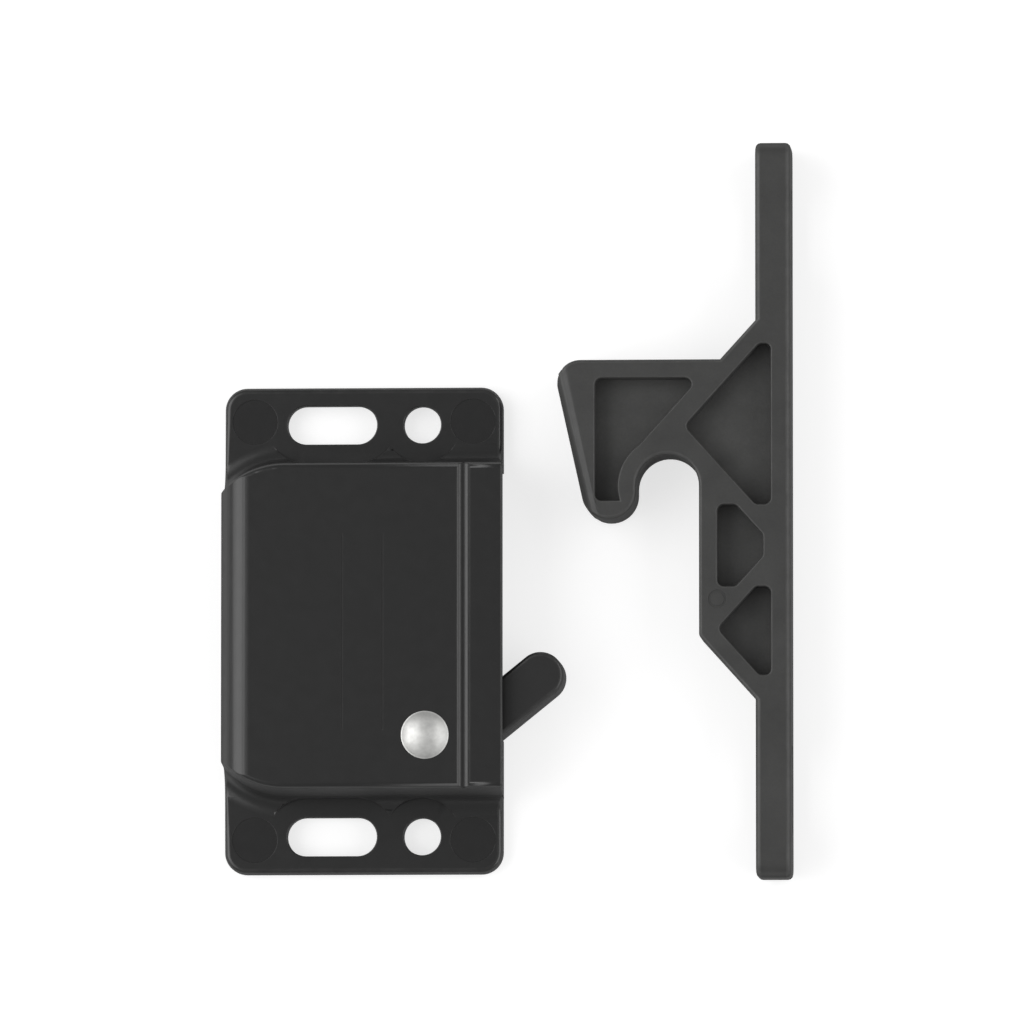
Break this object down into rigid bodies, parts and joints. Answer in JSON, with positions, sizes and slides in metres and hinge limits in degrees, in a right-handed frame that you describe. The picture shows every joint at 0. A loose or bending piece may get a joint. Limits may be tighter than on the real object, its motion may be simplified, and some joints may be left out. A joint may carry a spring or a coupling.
{
  "type": "spring cabinet catch",
  "caption": "Moulded spring cabinet catch: a flanged housing with an over-centre lever finger in its mouth, and the hooked keeper that it grips, with a slotted base.",
  "frame": {"origin": "middle of the housing's mounting face", "axes": "+X out of the mouth towards the keeper, +Y along the housing to its upper flange, +Z out of the mounting face to the front"},
  "size_m": [0.0778, 0.1005, 0.0148],
  "materials": {
    "housing_plastic": "black, satin moulded",
    "lever_plastic": "black, satin moulded",
    "keeper_plastic": "black, fine matt moulded",
    "rivet_metal": "bright, set rivet",
    "spring_steel": "drawn wire"
  },
  "bodies": {
    "housing": {"housing": "housing_plastic", "back_plate": "housing_plastic", "pivot_rivet": "rivet_metal", "keeper": "keeper_plastic"},
    "lever": {"catch_lever": "lever_plastic"},
    "spring": {"toggle_spring": "spring_steel"}
  },
  "joints": [
    {"name": "lever_pivot", "type": "hinge", "parent": "housing", "child": "lever", "pos_m": [0.00906, -0.01498, 0.00675], "axis": [0, 0, 1], "range_deg": [0, 45], "deforming": ["toggle_spring"]},
    {"name": "spring_swing", "type": "hinge", "parent": "housing", "child": "spring", "pos_m": [-0.0132, -0.00094, 0.00675], "axis": [0, 0, 1], "range_deg": [-20.5, 0.5], "deforming": ["toggle_spring"]}
  ],
  "couplings": [
    {"joint": "spring_swing", "follows": "lever_pivot", "ratio": -0.444}
  ]
}
